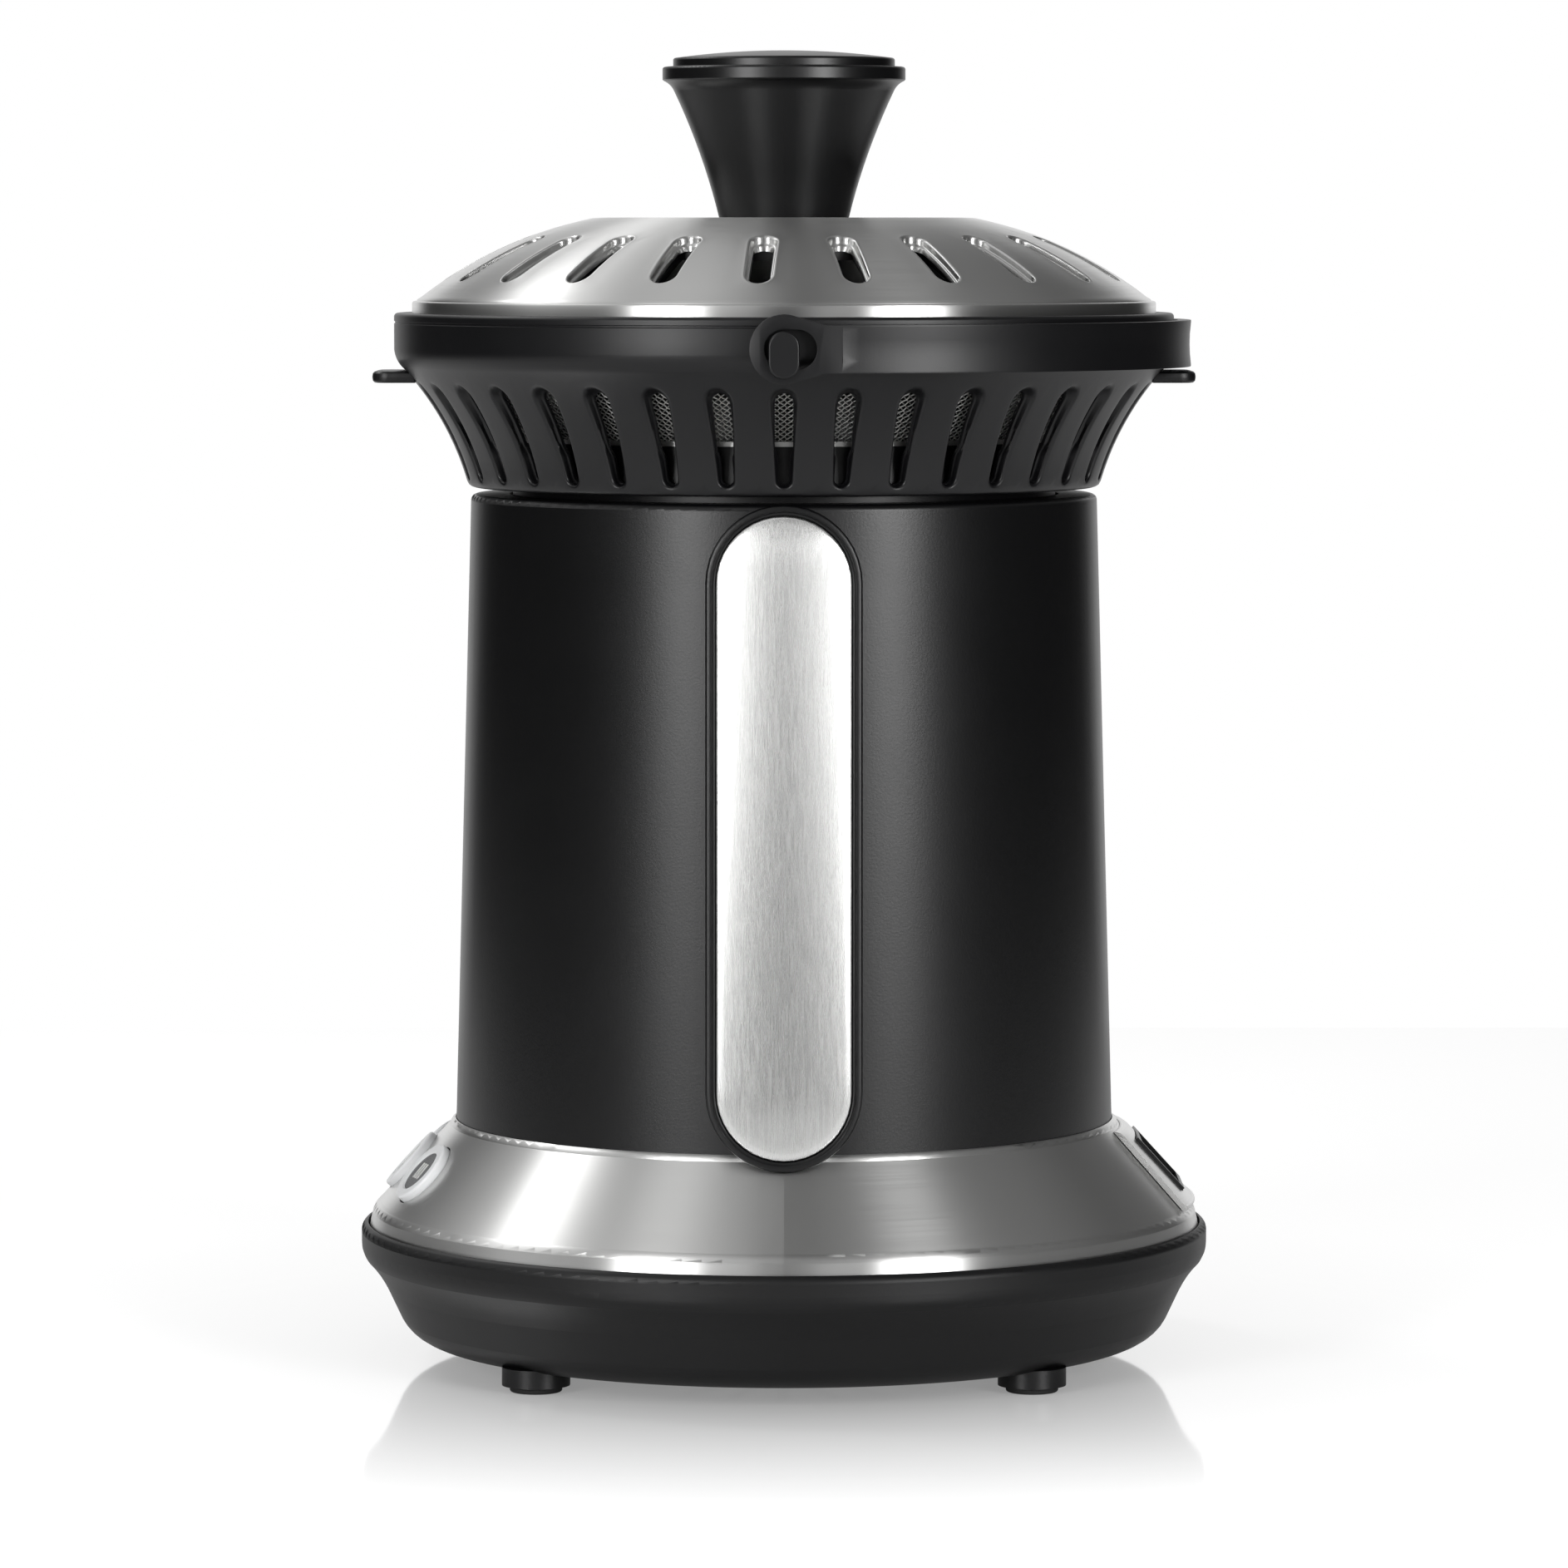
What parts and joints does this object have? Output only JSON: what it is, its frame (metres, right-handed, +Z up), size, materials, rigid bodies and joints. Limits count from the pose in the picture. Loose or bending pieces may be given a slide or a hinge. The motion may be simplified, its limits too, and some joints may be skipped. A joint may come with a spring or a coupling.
{
  "type": "hot air coffee bean roaster",
  "caption": "Upright home hot-air coffee bean roaster: black body on a flared steel base, slotted chaff collector with folding bail, and a lift-off vented steel lid with a knob.",
  "frame": {"origin": "on the counter, under the centre of the round base", "axes": "+Z up; -Y is the front, where the buttons are; the bail turns about an axis along X and lies to the rear, +Y, at rest"},
  "size_m": [0.2084, 0.2084, 0.3211],
  "materials": {
    "pan_plastic": "satin moulded",
    "pad_rubber": "matt",
    "brushed_stainless": "brushed",
    "shell_plastic": "fine texture",
    "trim_plastic": "satin",
    "collar_plastic": "satin",
    "knob_plastic": "satin",
    "button_ring_plastic": "translucent white",
    "button_steel": "dark brushed",
    "screen_steel": "woven wire",
    "zinc_steel": "plated",
    "motor_steel": "plated",
    "chamber_glass": "clear",
    "silicone": "matt",
    "mica": "matt",
    "heater_wire": "oxidised",
    "board_laminate": "satin",
    "inlet_plastic": "satin",
    "brass": "bright"
  },
  "bodies": {
    "root": {"base_pan": "pan_plastic", "foot_pads": "pad_rubber", "chassis_plate": "zinc_steel", "chassis_screws": "zinc_steel", "steel_skirt": "brushed_stainless", "rear_cover": "brushed_stainless", "power_inlet": "inlet_plastic", "inlet_pins": "brass", "body_shell": "shell_plastic", "strip_frame_right": "trim_plastic", "strip_frame_left": "trim_plastic", "strip_inlay_right": "brushed_stainless", "strip_inlay_left": "brushed_stainless", "blower_housing": "trim_plastic", "motor": "motor_steel", "motor_bearings": "zinc_steel", "motor_bracket": "zinc_steel", "heater_duct": "zinc_steel", "heater_frame": "mica", "heater_coil": "heater_wire", "thermal_cutout": "zinc_steel", "chamber_well": "zinc_steel", "seat_gasket": "silicone", "button_carrier": "trim_plastic", "tact_switches": "trim_plastic", "control_board": "board_laminate", "board_parts": "trim_plastic"},
    "impeller": {"motor_shaft": "motor_steel", "impeller": "trim_plastic"},
    "button_1": {"button_1_ring": "button_ring_plastic", "button_1_face": "button_steel"},
    "button_2": {"button_2_ring": "button_ring_plastic", "button_2_face": "button_steel"},
    "button_3": {"button_3_ring": "button_ring_plastic", "button_3_face": "button_steel"},
    "chamber": {"neck_ring": "collar_plastic", "collector_shell": "collar_plastic", "chaff_cup": "collar_plastic", "mesh_screen": "screen_steel", "screen_rings": "screen_steel", "roast_chamber": "chamber_glass", "chamber_floor": "screen_steel", "pivot_stud_right": "collar_plastic", "pivot_stud_left": "collar_plastic"},
    "bail": {"bail_handle": "collar_plastic"},
    "lid": {"lid_dome": "brushed_stainless", "lid_grille": "collar_plastic", "knob_body": "knob_plastic", "knob_cap": "knob_plastic", "knob_washer": "zinc_steel", "knob_screw": "zinc_steel"}
  },
  "joints": [
    {"name": "impeller_spin", "type": "hinge", "parent": "root", "child": "impeller", "pos_m": [0, 0, 0.047], "axis": [0, 0, 1], "continuous": true},
    {"name": "button_1_press", "type": "slide", "parent": "root", "child": "button_1", "axis": [0.216, 0.7065, -0.674], "range_m": [0, 0.0008], "stiffness_N_per_m": 1500},
    {"name": "button_2_press", "type": "slide", "parent": "root", "child": "button_2", "axis": [0, 0.7387, -0.674], "range_m": [0, 0.0008], "stiffness_N_per_m": 1500},
    {"name": "button_3_press", "type": "slide", "parent": "root", "child": "button_3", "axis": [-0.216, 0.7065, -0.674], "range_m": [0, 0.0008], "stiffness_N_per_m": 1500},
    {"name": "chamber_lift", "type": "slide", "parent": "root", "child": "chamber", "axis": [0, 0, 1], "range_m": [0, 0.12]},
    {"name": "lid_lift", "type": "slide", "parent": "chamber", "child": "lid", "axis": [0, 0, 1], "range_m": [0, 0.05]},
    {"name": "bail_swing", "type": "hinge", "parent": "chamber", "child": "bail", "pos_m": [0, 0, 0.24985], "axis": [1, 0, 0], "range_deg": [0, 180]}
  ]
}
